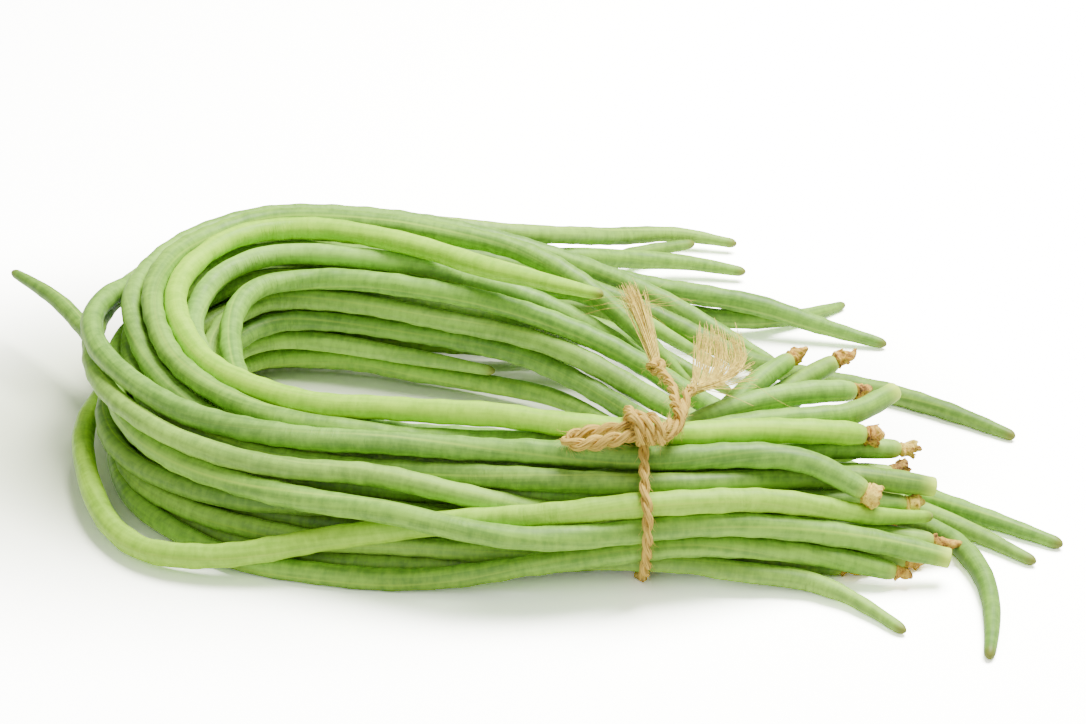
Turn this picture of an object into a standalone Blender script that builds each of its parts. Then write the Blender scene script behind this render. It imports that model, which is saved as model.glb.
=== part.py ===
"""A tied bunch of yardlong beans, lying folded on a table.

Every pod is laid along its own route: cut stem end, through the twine, along the front of the skein,
round the left-hand bend, back along the rear, and out to its tip.  The routes are then eased apart
until no pod presses into another, the twine is wrapped round those that pass through the tie, and the
whole bunch is centred on the place where it rests.  Metres, +X towards the stem ends, +Y away from
the front of the skein, +Z up.
"""

import math
from collections import namedtuple

import bmesh
import bpy
import numpy as np
from mathutils import Vector

# ---------------------------------------------------------------- driving sizes
LOOP_LENGTH = 0.201          # from the twine to the far side of the left-hand bend
LOOP_WIDTH = 0.158           # from the twine's middle to the outermost pod along the rear
POD_RADIUS = 0.0040          # half the thickness of a full-grown pod
POD_GAP = 0.0005             # air kept between neighbouring pods
NECK_RADIUS = 0.0034         # narrowest place, just behind the dried flower cup
CUP_RADIUS = 0.0029          # the dried flower cup on the stem end
CUP_LENGTH = 0.006
NECK_LENGTH = 0.014          # over which the stem end swells to full thickness
TIP_RADIUS = 0.0021
TIP_LENGTH = 0.055           # over which the pod thins towards its tip
POD_SIDES = 6                # flat sides round a pod
POD_JOINTS = 28              # places along a pod where its route may bend

TWINE_RADIUS = 0.0017
TWINE_GAP = 0.0004           # air between the twine and the pods it holds
TWINE_SIDES = 8
TWINE_X = -0.003             # where the twine goes round the pods
TWINE_TURN = 40              # places round the wrap
KNOT_SIZE = (0.0055, 0.0050, 0.0034)  # half the knot's length, width and height
STOP_KNOT_SIZE = (0.0042, 0.0046, 0.0036)
FRAY_RADIUS = 0.0048         # half the width of the frayed brush at a tail's end
FRAY_LENGTH = 0.045          # of a tail, over which its strands come apart

# places of the twine's parts, (x, y) or whole, chosen by hand; the strands are lifted clear of pods
KNOT_PLACE = (-0.004, -0.020)
KNOT_RISE = 0.0014
BOW = [(-.004, -.020, .051), (-.008, -.017, .050), (-.016, -.016, .049), (-.026, -.016, .048),
       (-.030, -.020, .047), (-.027, -.024, .047), (-.016, -.024, .048), (-.008, -.023, .050)]
LONG_TAIL = [(.004, -.020, .053), (.010, -.017, .053), (.012, -.007, .053), (.011, .005, .053),
             (.006, .013, .053), (.004, .020, .052), (.002, .040, .050), (.000, .065, .048),
             (-.002, .094, .048)]
SHORT_TAIL = [(.005, -.017, .054), (.011, -.008, .055), (.013, .006, .053), (.020, .020, .052),
              (.031, .044, .054)]
BOW_STEPS = 18               # places along the bow's tube
TAIL_STEPS = 24
STOP_KNOT_STEP = 12          # the place along the long tail where it is knotted on itself
STRAND_SMOOTHING = 12        # rounds of smoothing once a strand is lifted clear of the pods
WRAP_SLICE = 1.5             # pods this many twine radii each side of the wrap hold it out
CUP_EDGE = 0.0006            # half the width of the flower cup's edge
TIP_ROUNDING = 0.0018        # length of the rounded end
TIP_SHOULDER = 0.0054        # from the tip, where the rounding begins
TIP_BLUNTNESS = 0.5          # thickness of the very end, as a share
BALLS_PER_JOINT = 16         # how finely a pod is measured for what rests on it
SMOOTH_ANGLE = 70            # degrees; sharper edges are drawn as edges

GREENS = ((0.29, 0.40, 0.15), (0.25, 0.37, 0.14), (0.33, 0.44, 0.18), (0.22, 0.34, 0.12))
BRIGHT_GREEN = (0.42, 0.56, 0.12)
JUTE = (0.58, 0.42, 0.22)
POD_ROUGHNESS, JUTE_ROUGHNESS = 0.5, 0.9

FRONT_X = -0.085             # where a route's "front" and "back" places are read
BACK_X = -0.135
TIE_Y = -0.014               # the middle of the tied pods
TIE_RISE = 0.0031            # height of the tied pods' underside
TIE_PACKING = 0.749          # share of the tied bundle's section that the pods and their gaps fill
TIE_LENGTH = 0.030           # how far each way the pods stay drawn together
TIE_FLARE = 0.016            # how much wider they have spread by then
TIE_STRAY = 2                # a pod farther out than this many times the bundle's reach isn't tied
TIE_PLATEAU = 0.026          # half the length lifted off the table by the twine
TIE_RAMP = 0.050             # length over which the pods come down to the table from there

# ---------------------------------------------------------------- the routes
# Places chosen by hand, for pods of ROUTE_RADIUS. Whole places are (x, y, z). head runs from the stem
# end towards the twine; tie is (y, z) in the twine, at x = 0; front and back are (y, z) at FRONT_X and
# BACK_X; bend is the left-most place of the loop; tail runs from there to the tip. Where a pod strays
# from the rounded shape of the loop, front or back is a list of whole places. thick is the share of
# POD_RADIUS. A pod laid the other way round has its tip at the head and its stem end at the tail.
ROUTE_RADIUS = 0.0040
Route = namedtuple("Route", "head tie front bend back tail thick other_way", defaults=(False,))

ROUTES = {
    # top of the skein
    "bean_01": Route([(.077, .009, .038), (.050, .001, .044), (.020, -.012, .048)], (-.014, .047),
                     (.006, .046), (-.173, .085, .056), (.139, .057),
                     [(-.091, .127, .057), (-.053, .105, .056), (-.015, .086, .056)], 1.04),
    "bean_02": Route([(.085, .031, .046), (.072, .016, .044), (.044, .010, .045)], (-.005, .044),
                     (.000, .041), (-.181, .087, .056), (.149, .057),
                     [(-.076, .139, .056), (-.035, .125, .051), (-.005, .106, .034),
                      (.018, .094, .014)], 1.0),
    "bean_03": Route([(.072, .034, .034), (.050, .018, .038)], (-.008, .037), (-.003, .035),
                     (-.187, .088, .051), (.158, .053),
                     [(-.090, .157, .052), (-.041, .147, .044), (.002, .153, .024),
                      (.052, .119, .010)], .96),
    "bean_04": Route([(.074, -.016, .028), (.049, -.010, .040)], (-.021, .043), (-.009, .043),
                     (-.201, .086, .050),
                     [(-.135, .160, .040), (-.178, .124, .044), (-.194, .100, .049)],
                     [(-.090, .164, .038), (-.020, .160, .022), (.040, .153, .008),
                      (.097, .141, .005)], 1.02),
    # inner loops
    "bean_05": Route([(.077, .039, .042), (.052, .031, .045), (.025, .018, .044)], (.001, .038),
                     (.009, .039), (-.165, .085, .049), (.131, .052),
                     [(-.091, .127, .050), (-.028, .114, .036), (.020, .104, .010)], 1.0),
    "bean_06": Route([(.054, .049, .052), (.036, .036, .048)], (.005, .032), (.009, .032),
                     (-.152, .080, .042), (.122, .046),
                     [(-.090, .114, .046), (-.036, .098, .038), (-.004, .088, .026),
                      (.050, .052, .009), (.141, -.007, .005)], 1.0),
    "bean_07": Route([(.071, .051, .050), (.045, .040, .040)], (.007, .025), (.009, .025),
                     (-.160, .082, .035), (.121, .038),
                     [(-.036, .094, .030), (.000, .076, .016), (.060, .032, .006),
                      (.130, -.018, .005)], .96),
    "bean_08": Route([(.064, .056, .044), (.040, .038, .030)], (.006, .017), (.008, .018),
                     (-.159, .080, .028), (.120, .030),
                     [(-.036, .095, .022), (.000, .066, .010), (.060, .020, .006),
                      (.102, .004, .006), (.113, -.030, .005), (.106, -.075, .005)], .92),
    "bean_09": Route([(.082, .036, .022), (.050, .026, .018)], (-.001, .024), (.006, .011),
                     (-.163, .078, .020), (.120, .021), [(-.055, .098, .018)], .90),
    "bean_10": Route([(.066, .024, .012)], (-.001, .009), (.003, .004), (-.164, .080, .012),
                     (.122, .012), [(-.031, .092, .008), (.004, .062, .006)], .92),
    # middle of the skein
    "bean_11": Route([(.091, .013, .034), (.060, .006, .036)], (-.016, .038), (-.002, .029),
                     (-.176, .084, .046), (.139, .049), [(-.020, .130, .034), (.030, .118, .008)], .92),
    "bean_12": Route([(.087, .014, .022), (.050, .010, .026)], (-.006, .030), (.000, .022),
                     (-.174, .082, .038), (.130, .042), [(-.020, .120, .026), (.034, .096, .006)], .90),
    "bean_13": Route([(.088, .002, .028), (.050, .000, .031)], (-.014, .030), (-.001, .016),
                     (-.173, .080, .030), (.129, .033), [(-.020, .112, .014)], .90),
    "bean_14": Route([(.078, .004, .018)], (-.009, .022), (-.002, .010), (-.175, .078, .022),
                     (.129, .024), [(-.030, .120, .016)], .88),
    "bean_15": Route([(.074, .012, .012)], (-.006, .015), (-.005, .004), (-.177, .078, .013),
                     (.130, .015), [(-.020, .128, .008)], .90),
    "bean_16": Route([(.096, .000, .026), (.060, -.006, .033)], (-.026, .038), (-.010, .036),
                     (-.187, .084, .044), (.148, .048),
                     [(-.060, .146, .042), (.000, .134, .026), (.049, .112, .009),
                      (.094, .098, .006), (.136, .068, .005)], .98),
    "bean_17": Route([(.092, -.006, .020), (.055, -.010, .026)], (-.021, .031), (-.009, .028),
                     (-.184, .080, .036), (.139, .040),
                     [(.000, .158, .012), (.050, .152, .006), (.084, .176, .005)], .92),
    "bean_18": Route([(.082, -.006, .012)], (-.016, .023), (-.010, .020), (-.184, .076, .028),
                     (.138, .031), [(-.010, .150, .010)], .88),
    "bean_19": Route([(.070, .000, .008)], (-.013, .015), (-.011, .012), (-.184, .074, .020),
                     (.138, .022), [(-.020, .160, .006)], .88),
    "bean_20": Route([(.060, -.006, .006)], (-.010, .008), (-.013, .004), (-.186, .072, .012),
                     (.139, .013), [(-.040, .158, .006)], .90),
    # front face and outer loops
    "bean_21": Route([(.101, -.014, .012), (.060, -.016, .015)], (-.026, .023), (-.016, .040),
                     (-.197, .080, .038), (.158, .044),
                     [(-.033, .181, .028), (-.004, .221, .009), (.014, .233, .005),
                      (.044, .227, .005)], .94),
    "bean_22": Route([(.099, -.027, .014), (.049, -.024, .024)], (-.033, .028), (-.019, .033),
                     (-.194, .070, .032), (.149, .038),
                     [(-.020, .192, .018), (.014, .206, .006), (.046, .200, .005)], 1.0),
    "bean_23": Route([(.094, -.006, .017), (.078, -.014, .019), (.060, -.019, .024),
                      (.030, -.023, .033)], (-.031, .036),
                     [(-.031, -.027, .034), (-.058, -.021, .029), (-.086, -.018, .021),
                      (-.126, -.016, .009), (-.152, -.017, .005), (-.175, -.010, .005),
                      (-.192, .020, .008)],
                     (-.200, .052, .014), (.149, .006), [(.005, .165, .006)], 1.0, True),
    "bean_24": Route([(.092, -.018, .008), (.050, -.018, .014)], (-.022, .015), (-.018, .025),
                     (-.193, .056, .024), (.148, .028),
                     [(-.040, .176, .010), (.004, .214, .005), (.026, .225, .005)], .92),
    "bean_25": Route([(.081, -.060, .005), (.055, -.030, .006)], (-.031, .013), (-.019, .012),
                     (-.192, .060, .014), (.148, .019), [(.000, .150, .014)], .88, True),
    "bean_26": Route([(.086, -.030, .009), (.050, -.026, .012)], (-.034, .019), (-.029, .004),
                     (-.188, .062, .005), (.157, .005), [(-.020, .172, .010)], .94),
    "bean_27": Route([(.070, -.024, .007)], (-.024, .008), (-.021, .004), (-.180, .062, .005),
                     (.141, .004), [(.000, .180, .006)], .94),
    "bean_28": Route([(.070, -.002, .022)], (-.012, .022), (-.014, .018), (-.188, .066, .029), [],
                     [(-.205, .104, .031), (-.222, .128, .034), (-.243, .150, .034)], .86),
}

LOOP_STEPS = (30, 60)        # degrees at which the round bend gets extra places
FINE_STEPS = 12              # places per stretch when a route is measured

# ---------------------------------------------------------------- easing the pods apart
EASE_ROUNDS = 600
EASE_GROWTH = 0.55           # share of the rounds in which the pods swell to full thickness
EASE_START = 0.35            # share of full thickness that they start from
EASE_PULL = 0.05             # how firmly a pod is drawn back to its route, at the start
EASE_SPREAD = 0.30           # how far a push is shared with the pod's neighbouring joints
EASE_SINK = 0.00008          # how far a pod drops each round, so that it lies on what is below
EASE_OVERSTEP = 1.5          # how far past its neighbour's edge a pod is pushed, as a share
EASE_REFRESH = 6             # rounds after which the neighbours are looked up again
EASE_REACH = 3               # how many pod radii past touching a neighbour is looked for
EASE_BINDING = 0.5           # how firmly the twine draws the pods in, at the start


def between_times(a, b, start, end, t):
    """The point that a line from a, at time start, to b, at time end, has reached at time t."""
    return (a * (end - t) + b * (t - start)) / (end - start)


def through(points, steps):
    """A smooth curve through the points: on each stretch, the cubic whose slopes at its two ends
    come from the neighbouring points, with the stretches timed by the square root of their length."""
    points = np.asarray(points, float)
    points = np.vstack([2 * points[0] - points[1], points, 2 * points[-1] - points[-2]])
    made = []
    for a, b, c, d in zip(points, points[1:], points[2:], points[3:]):
        t1, t2, t3 = np.cumsum([math.sqrt(np.linalg.norm(q - p)) for p, q in ((a, b), (b, c), (c, d))])
        for t in np.linspace(t1, t2, steps, endpoint=False):
            ab, bc = between_times(a, b, 0, t1, t), between_times(b, c, t1, t2, t)
            cd = between_times(c, d, t2, t3, t)
            abc, bcd = between_times(ab, bc, 0, t2, t), between_times(bc, cd, t1, t3, t)
            made.append(between_times(abc, bcd, t1, t2, t))
    return np.array(made + [points[-2]])


def evenly(points, count):
    """The same line as count points, equally spaced along it."""
    along = np.concatenate([[0], np.cumsum(np.linalg.norm(np.diff(points, axis=0), axis=1))])
    at = np.linspace(0, along[-1], count)
    return np.stack([np.interp(at, along, points[:, k]) for k in range(3)], axis=1)


def limb(x, place, bend):
    """Places from one side of the loop towards its left-most place, rounded as a quarter ellipse."""
    if isinstance(place, list):
        return place
    y, z = place
    made = [(x, y, z)]
    for degrees in LOOP_STEPS:
        share = math.radians(degrees)
        made.append((x + (bend[0] - x) * math.sin(share),
                     bend[1] + (y - bend[1]) * math.cos(share),
                     z + (bend[2] - z) * (1 - math.cos(share))))
    return made


def fitted(places):
    """Hand-chosen places moved to suit the driving sizes: out from the tie for thicker pods, to the
    left for a longer loop, and to the rear for a wider one."""
    x, y, z = np.array(places, float).T
    swollen = POD_RADIUS / ROUTE_RADIUS
    longer = LOOP_LENGTH / max(-route.bend[0] for route in ROUTES.values())
    wider = LOOP_WIDTH / max(route.back[0] for route in ROUTES.values() if isinstance(route.back, tuple))
    y = TIE_Y + (y - TIE_Y) * swollen
    return np.stack([np.where(x < 0, x * longer, x), np.where(y > 0, y * wider, y), z * swollen], axis=1)


def laid(route):
    """A pod's route as POD_JOINTS evenly spaced points, stem end first."""
    places = [*route.head, (0, *route.tie), *limb(FRONT_X, route.front, route.bend), route.bend,
              *reversed(limb(BACK_X, route.back, route.bend)), *route.tail]
    joints = evenly(through(fitted(places), FINE_STEPS), POD_JOINTS)
    return joints[::-1] if route.other_way else joints


def tie():
    """The tied bundle's middle (y, z) and its reach: the round section that every pod, with half its
    gap round it, fills to TIE_PACKING."""
    reach = (POD_RADIUS + POD_GAP / 2) * math.sqrt(sum(r.thick ** 2 for r in ROUTES.values()) / TIE_PACKING)
    return (TIE_Y, TIE_RISE + reach), reach


def swell(share_from_stem, length):
    """A pod's radius at distances given as shares of its length: a narrow neck behind the flower
    cup, full thickness along the middle, and a long thinning towards the tip."""
    from_stem = np.asarray(share_from_stem, float) * length
    from_tip = length - from_stem
    neck = np.clip((from_stem - CUP_LENGTH) / NECK_LENGTH, 0, 1)
    tip = np.clip(from_tip / TIP_LENGTH, 0, 1)
    radius = NECK_RADIUS + (POD_RADIUS - NECK_RADIUS) * np.sin(neck * math.pi / 2)
    radius = np.minimum(radius, TIP_RADIUS + (POD_RADIUS - TIP_RADIUS) * np.sin(tip * math.pi / 2))
    return np.where(from_stem < CUP_LENGTH, CUP_RADIUS, radius)


def table_height(x):
    """How high the lowest pods lie at x: the twine under them lifts them off the table."""
    lift = 2 * TWINE_RADIUS + TWINE_GAP
    return lift * np.clip((TIE_PLATEAU + TIE_RAMP - np.abs(x)) / TIE_RAMP, 0, 1)


def bind(joints, radii, firmness):
    """The joints near the twine drawn in to the round bundle that it holds."""
    middle, reach = tie()
    y, z = joints[..., 1] - middle[0], joints[..., 2] - middle[1]
    out = np.maximum(np.hypot(y, z), 1e-9)
    share = np.abs(joints[..., 0]) / TIE_LENGTH
    allowed = reach + TIE_FLARE * share ** 2 - radii
    tied = (share < 1) & (out < TIE_STRAY * reach)
    draw = np.where(tied, firmness * np.maximum(out - allowed, 0) / out, 0)
    joints[..., 1] -= draw * y
    joints[..., 2] -= draw * z


def nearest_on_pair(p, u, q, v):
    """Shares s and t at which the segments p + s u and q + t v come closest, for whole arrays."""
    w = p - q
    a, b, c = (u * u).sum(1), (u * v).sum(1), (v * v).sum(1)
    d, e = (u * w).sum(1), (v * w).sum(1)
    bottom = a * c - b * b
    s = np.where(bottom > 1e-12 * a * c, (b * e - c * d) / np.maximum(bottom, 1e-18), 0.5)
    t = np.clip((b * np.clip(s, 0, 1) + e) / c, 0, 1)
    s = np.clip((b * t - d) / a, 0, 1)
    t = np.clip((b * s + e) / c, 0, 1)
    return s, t


def close_pairs(joints, reach):
    """Pairs of segments of different pods whose middles are within reach of each other."""
    pods, count = joints.shape[0], joints.shape[1] - 1
    middle = ((joints[:, 1:] + joints[:, :-1]) / 2).reshape(-1, 3)
    pod = np.repeat(np.arange(pods), count)
    squares = (middle ** 2).sum(1)
    apart = squares[:, None] + squares[None] - 2 * middle @ middle.T
    first, second = np.nonzero((apart < reach ** 2) & (pod[:, None] < pod[None]))
    start = np.arange(pods * count) + pod
    return start[first], start[second]


def eased(joints, radii):
    """The joints moved until no two pods press into each other or into the table."""
    routes = joints.copy()
    pods, count = joints.shape[:2]
    longest = np.linalg.norm(np.diff(joints, axis=1), axis=2).max()
    for turn in range(EASE_ROUNDS):
        done = turn / EASE_ROUNDS
        grown = min(1.0, EASE_START + (1 - EASE_START) * done / EASE_GROWTH)
        if turn % EASE_REFRESH == 0:
            first, second = close_pairs(joints, longest + EASE_REACH * POD_RADIUS)
        flat, thick = joints.reshape(-1, 3), radii.reshape(-1) * grown
        p, q = flat[first], flat[second]
        u, v = flat[first + 1] - p, flat[second + 1] - q
        s, t = nearest_on_pair(p, u, q, v)
        between = (p + s[:, None] * u) - (q + t[:, None] * v)
        distance = np.maximum(np.linalg.norm(between, axis=1), 1e-9)
        wanted = (thick[first] * (1 - s) + thick[first + 1] * s
                  + thick[second] * (1 - t) + thick[second + 1] * t + POD_GAP)
        short = np.maximum(wanted - distance, 0)
        step = between / distance[:, None] * (0.5 * short)[:, None]
        push, load = np.zeros_like(flat), np.full(len(flat), 1e-9)
        for index, share, sign in ((first, 1 - s, 1), (first + 1, s, 1),
                                   (second, 1 - t, -1), (second + 1, t, -1)):
            np.add.at(push, index, sign * step * share[:, None])
            np.add.at(load, index, share * (short > 0))
        moved = (push / np.maximum(load, 1)[:, None] * EASE_OVERSTEP).reshape(joints.shape)
        pull = EASE_PULL * (1 - done) ** 2
        joints = joints + moved + pull * (routes - joints)
        joints[..., 2] -= EASE_SINK * (1 - done)
        off = joints - routes
        spread = EASE_SPREAD * (1 - done)
        off[:, 1:-1] += spread * ((off[:, :-2] + off[:, 2:]) / 2 - off[:, 1:-1])
        joints = routes + off
        bind(joints, radii * grown, EASE_BINDING * (1 - done))
        joints[..., 2] = np.maximum(joints[..., 2], radii + table_height(joints[..., 0]))
    return joints


# ---------------------------------------------------------------- solids
def rings_along(points, sides):
    """Unit directions to the corners of a ring at each point, square to the path's bisector and
    carried from ring to ring without twisting."""
    run = np.diff(points, axis=0)
    run /= np.linalg.norm(run, axis=1)[:, None]
    along = np.vstack([run[:1], run[:-1] + run[1:], run[-1:]])
    along /= np.linalg.norm(along, axis=1)[:, None]
    side = np.cross(along[0], (0, 0, 1))
    angles = np.arange(sides) * math.tau / sides
    made = []
    for direction in along:
        side = side - direction * (side @ direction)
        side /= np.linalg.norm(side)
        up = np.cross(side, direction)
        made.append(np.cos(angles)[:, None] * side + np.sin(angles)[:, None] * up)
    return np.array(made)


def tube(points, radii, sides, closed=False):
    """A bmesh tube of the given radius at each point; capped at its ends, or closed on itself."""
    points = np.asarray(points, float)
    if closed:
        path = np.vstack([points[-1:], points, points[:1]])
        corners = rings_along(path, sides)[1:-1]
    else:
        corners = rings_along(points, sides)
    made = bmesh.new()
    rings = [[made.verts.new(point + radius * corner) for corner in ring]
             for point, radius, ring in zip(points, radii, corners)]
    pairs = list(zip(rings, rings[1:] + rings[:1])) if closed else list(zip(rings, rings[1:]))
    for ring, after in pairs:
        for k in range(sides):
            made.faces.new((ring[k], ring[k - 1], after[k - 1], after[k]))
    if not closed:
        made.faces.new(rings[0])
        made.faces.new(reversed(rings[-1]))
    bmesh.ops.recalc_face_normals(made, faces=made.faces)
    return made


def finish_object(name, shape, origin, colour, roughness):
    """The bmesh as a named object whose origin is at a place on it, with its own material."""
    bmesh.ops.triangulate(shape, faces=shape.faces)
    bmesh.ops.translate(shape, verts=shape.verts, vec=-Vector(origin))
    mesh = bpy.data.meshes.new(name)
    shape.to_mesh(mesh)
    shape.free()
    mesh.shade_smooth()
    mesh.set_sharp_from_angle(angle=math.radians(SMOOTH_ANGLE))
    made = bpy.data.objects.new(name, mesh)
    made.location = origin
    bpy.context.collection.objects.link(made)
    material = bpy.data.materials.new(name)
    material.use_nodes = True
    shader = material.node_tree.nodes["Principled BSDF"]
    shader.inputs["Base Color"].default_value = (*colour, 1)
    shader.inputs["Roughness"].default_value = roughness
    shader.inputs["Metallic"].default_value = 0
    mesh.materials.append(material)
    return made


def at_distances(points, distances):
    """The points of the line at the given distances along it."""
    along = np.concatenate([[0], np.cumsum(np.linalg.norm(np.diff(points, axis=0), axis=1))])
    return np.stack([np.interp(distances, along, points[:, k]) for k in range(3)], axis=1)


def pod_shape(joints, thick):
    """One pod: flower cup, neck, body and rounded tip, as a tube along its eased joints."""
    steps = np.linalg.norm(np.diff(joints, axis=0), axis=1)
    along = np.concatenate([[0], np.cumsum(steps)])
    length = along[-1]
    stem_end = [CUP_LENGTH - CUP_EDGE, CUP_LENGTH + CUP_EDGE, CUP_LENGTH + NECK_LENGTH / 4]
    tip_end = [length - TIP_SHOULDER, length - TIP_ROUNDING]
    at = np.unique(np.concatenate([along, stem_end, tip_end]))
    at = at[np.concatenate([[True], np.diff(at) > CUP_EDGE])]
    radii = swell(at / length, length) * thick
    radii[-1] *= TIP_BLUNTNESS
    return tube(at_distances(joints, at), radii, POD_SIDES)


# ---------------------------------------------------------------- the twine
def resting_height(places, radii, pods):
    """Heights at which balls of the given radii, at (x, y), rest on the pods."""
    centres, thick = pods
    reach = thick[None] + radii[:, None] + TWINE_GAP
    across = np.hypot(places[:, None, 0] - centres[None, :, 0], places[:, None, 1] - centres[None, :, 1])
    lift = np.sqrt(np.maximum(reach ** 2 - across ** 2, 0))
    return np.where(across < reach, centres[None, :, 2] + lift, 0).max(axis=1)


def wrap_path(pods):
    """The wrap: the tightest loop round the tied pods, a twine's radius and a gap outside them."""
    centres, thick = pods
    middle, bundle = tie()
    near = np.abs(centres[:, 0] - TWINE_X) < WRAP_SLICE * TWINE_RADIUS
    tied = near & (np.hypot(centres[:, 1] - middle[0], centres[:, 2] - middle[1]) < TIE_STRAY * bundle)
    reach = thick[tied] + TWINE_RADIUS + TWINE_GAP
    angles = np.linspace(0, math.tau, 4 * TWINE_TURN, endpoint=False)
    # the reach of the pods in each direction, then the outline whose tangents those are
    outward = np.stack([np.cos(angles), np.sin(angles)], axis=1)
    from_middle = centres[tied][:, 1:] - middle
    support = (outward @ from_middle.T + reach).max(axis=1)
    turn = angles[1] - angles[0]
    slope = (np.roll(support, -1) - np.roll(support, 1)) / (2 * turn)
    y = middle[0] + support * np.cos(angles) - slope * np.sin(angles)
    z = middle[1] + support * np.sin(angles) + slope * np.cos(angles)
    outline = np.stack([np.full_like(y, TWINE_X), y, z], axis=1)
    return evenly(np.vstack([outline, outline[:1]]), TWINE_TURN + 1)[:-1]


def strand(places, pods, steps, radius_at=None):
    """A stretch of twine through the places, lifted wherever the pods would be in its way."""
    line = evenly(through(places, FINE_STEPS), steps)
    radii = np.full(steps, TWINE_RADIUS) if radius_at is None else radius_at(line)
    line[:, 2] = np.maximum(line[:, 2], resting_height(line, radii, pods))
    smooth = line[:, 2].copy()
    for _ in range(STRAND_SMOOTHING):
        smooth[1:-1] = np.maximum((smooth[:-2] + 2 * smooth[1:-1] + smooth[2:]) / 4, line[1:-1, 2])
    line[:, 2] = smooth
    return line, radii


def fraying(line):
    """A tail's radius along it: twine at first, opening into a brush over its last stretch."""
    left = np.linalg.norm(np.diff(line, axis=0), axis=1)[::-1].cumsum()[::-1]
    opened = np.clip(1 - np.append(left, 0) / FRAY_LENGTH, 0, 1)
    return TWINE_RADIUS + (FRAY_RADIUS - TWINE_RADIUS) * opened


def knot(place, size, pods, at_least=0):
    """A knot's lump: a ball drawn out along each axis, set down on the pods under (x, y)."""
    made = bmesh.new()
    bmesh.ops.create_icosphere(made, subdivisions=2, radius=1)
    bmesh.ops.scale(made, verts=made.verts, vec=size)
    under = np.array([corner.co for corner in made.verts if corner.co.z < 0])
    heights = resting_height(under + (*place, 0), np.zeros(len(under)), pods) - under[:, 2]
    bmesh.ops.translate(made, verts=made.verts, vec=(*place, max(heights.max(), at_least)))
    return made


def add_twine(pods):
    """The whole twine as one object: wrap, knot, bow and two tails, joined by Boolean unions."""
    wrap = wrap_path(pods)
    place = fitted([(*KNOT_PLACE, 0)])[:, :2]
    height = resting_height(place, np.array([TWINE_RADIUS]), pods)[0]
    middle = (*place[0], height + KNOT_RISE)
    bow, bow_radii = strand(fitted([*BOW, BOW[0]]), pods, BOW_STEPS)
    long_tail, long_radii = strand([middle, *fitted(LONG_TAIL)], pods, TAIL_STEPS, fraying)
    short_tail, short_radii = strand([middle, *fitted(SHORT_TAIL)], pods, TAIL_STEPS, fraying)
    stop = long_tail[STOP_KNOT_STEP]
    pieces = [tube(wrap, np.full(len(wrap), TWINE_RADIUS), TWINE_SIDES, closed=True),
              tube(bow[:-1], bow_radii, TWINE_SIDES, closed=True),
              tube(long_tail, long_radii, TWINE_SIDES),
              tube(short_tail, short_radii, TWINE_SIDES),
              knot(place[0], KNOT_SIZE, pods, height),
              knot(stop[:2], STOP_KNOT_SIZE, pods, stop[2])]
    twine = finish_object("jute_twine", pieces[0], middle, JUTE, JUTE_ROUGHNESS)
    for number, piece in enumerate(pieces[1:], 1):
        other = finish_object(f"twine_piece_{number}", piece, middle, JUTE, JUTE_ROUGHNESS)
        other.hide_render = True
        other.display_type = "WIRE"
        union = twine.modifiers.new(f"join_{number}", "BOOLEAN")
        union.operation = "UNION"
        union.object = other
    return twine


# ---------------------------------------------------------------- the bunch
def add_pods():
    """Every pod as an object, and all their centres and radii as close-set balls."""
    names = list(ROUTES)
    joints = np.array([laid(ROUTES[name]) for name in names])
    lengths = np.linalg.norm(np.diff(joints, axis=1), axis=2).sum(axis=1)
    thick = np.array([ROUTES[name].thick for name in names])
    share = np.linspace(0, 1, POD_JOINTS)
    radii = np.array([swell(share, length) * size for length, size in zip(lengths, thick)])
    joints = eased(joints, radii)
    centres, sizes = [], []
    for number, name in enumerate(names):
        colour = BRIGHT_GREEN if number == 0 else GREENS[number % len(GREENS)]
        shape = pod_shape(joints[number], thick[number])
        finish_object(name, shape, joints[number, 0], colour, POD_ROUGHNESS)
        at = np.linspace(0, 1, POD_JOINTS * BALLS_PER_JOINT)
        centres.append(evenly(joints[number], len(at)))
        sizes.append(np.interp(at, share, radii[number]))
    return np.concatenate(centres), np.concatenate(sizes)


def centre_on_floor():
    """Everything shifted so that the bunch's box stands on the origin."""
    made = [thing for thing in bpy.data.objects if thing.type == "MESH"]
    bpy.context.view_layer.update()
    shown = [thing for thing in made if not thing.hide_render]
    corners = np.array([thing.matrix_world @ Vector(corner) for thing in shown
                        for corner in thing.bound_box])
    low, high = corners.min(axis=0), corners.max(axis=0)
    shift = Vector(((low[0] + high[0]) / 2, (low[1] + high[1]) / 2, low[2]))
    for thing in made:
        thing.location -= shift


for thing in list(bpy.data.objects):
    bpy.data.objects.remove(thing, do_unlink=True)
add_twine(add_pods())
centre_on_floor()
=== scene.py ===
# %% [markdown]
# # A bunch of yardlong beans, tied with jute
# The bunch is 28 long pods folded into a loop, and one length of twine. A plain model of it already says
# where each of them lies. This lesson gives them their real surface: swelling seeds, two seams, dried
# flower cups, and twine that is really twisted from two plies. The plain model is loaded as a fixed frame.

# %% Load the frame
import math

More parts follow.
